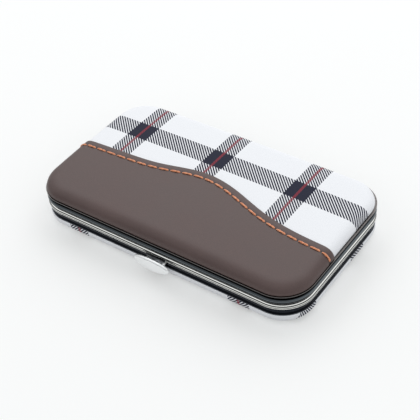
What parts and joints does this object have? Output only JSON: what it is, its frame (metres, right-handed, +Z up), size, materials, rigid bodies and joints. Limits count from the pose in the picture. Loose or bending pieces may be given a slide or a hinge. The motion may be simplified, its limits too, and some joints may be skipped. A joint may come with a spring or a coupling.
{
  "type": "manicure set case",
  "caption": "Slim clamshell case on a metal snap frame, padded plaid and leather lid, push-button latch, with scissors, clipper, tweezers and files strapped inside.",
  "frame": {"origin": "on the flat underside, under the middle of the case's frame", "axes": "+X along the front edge, +Y back towards the hinge, +Z up through the lid"},
  "size_m": [0.11, 0.0677, 0.0179],
  "materials": {
    "plaid_fabric": "twill cloth, white with dark blue and dark red bands",
    "brown_leather": "matt taupe brown coated leather, fine grain",
    "foam": "open cell foam sheet",
    "shell_plastic": "moulded, matt",
    "lining_cloth": "flocked, short nap",
    "frame_metal": "plated bead, darkened flank",
    "latch_plastic": "moulded, matt",
    "latch_plate": "plated sheet",
    "fastener_steel": "plated",
    "spring_steel": "drawn wire",
    "hinge_steel": "plated sheet",
    "strap_leather": "thin dark coated leather",
    "tool_steel": "polished stainless steel",
    "button_metal": "satin, bright edge"
  },
  "bodies": {
    "base": {"base_shell": "shell_plastic", "base_cover": "plaid_fabric", "base_foam": "foam", "base_frame": "frame_metal", "base_lining": "lining_cloth", "latch_box": "latch_plastic", "latch_cover": "latch_plate", "latch_screws": "fastener_steel", "latch_springs": "spring_steel", "hinge_leaf_base": "hinge_steel", "hinge_pin": "hinge_steel", "hinge_rivets_base": "fastener_steel", "tool_strap_base": "strap_leather", "strap_rivets_base": "fastener_steel", "scissors_blade_lower": "tool_steel", "scissors_blade_upper": "tool_steel", "scissors_screw": "fastener_steel", "clipper_lower_jaw": "tool_steel", "clipper_upper_jaw": "tool_steel", "clipper_pin": "fastener_steel", "clipper_lever": "tool_steel"},
    "lid": {"lid_shell": "shell_plastic", "lid_foam": "foam", "lid_cover": "plaid_fabric", "leather_panel": "brown_leather", "lid_frame": "frame_metal", "lid_lining": "lining_cloth", "catch_hook": "latch_plate", "hook_rivets": "fastener_steel", "hinge_leaf_lid": "hinge_steel", "hinge_rivets_lid": "fastener_steel", "tool_strap_lid": "strap_leather", "strap_rivets_lid": "fastener_steel", "tweezers_arm_lower": "tool_steel", "tweezers_arm_upper": "tool_steel", "nail_file": "tool_steel", "cuticle_pusher": "tool_steel", "ear_pick": "tool_steel"},
    "button": {"push_button": "button_metal", "latch_slider": "latch_plate", "slider_rivets": "fastener_steel"}
  },
  "joints": [
    {"name": "lid_hinge", "type": "hinge", "parent": "base", "child": "lid", "pos_m": [0, 0.0317, 0.0092], "axis": [-1, 0, 0], "range_deg": [0, 180]},
    {"name": "button_press", "type": "slide", "parent": "base", "child": "button", "axis": [0, 1, 0], "range_m": [0, 0.0015], "stiffness_N_per_m": 1500, "springref_m": -0.0008, "deforming": ["latch_springs"]}
  ]
}
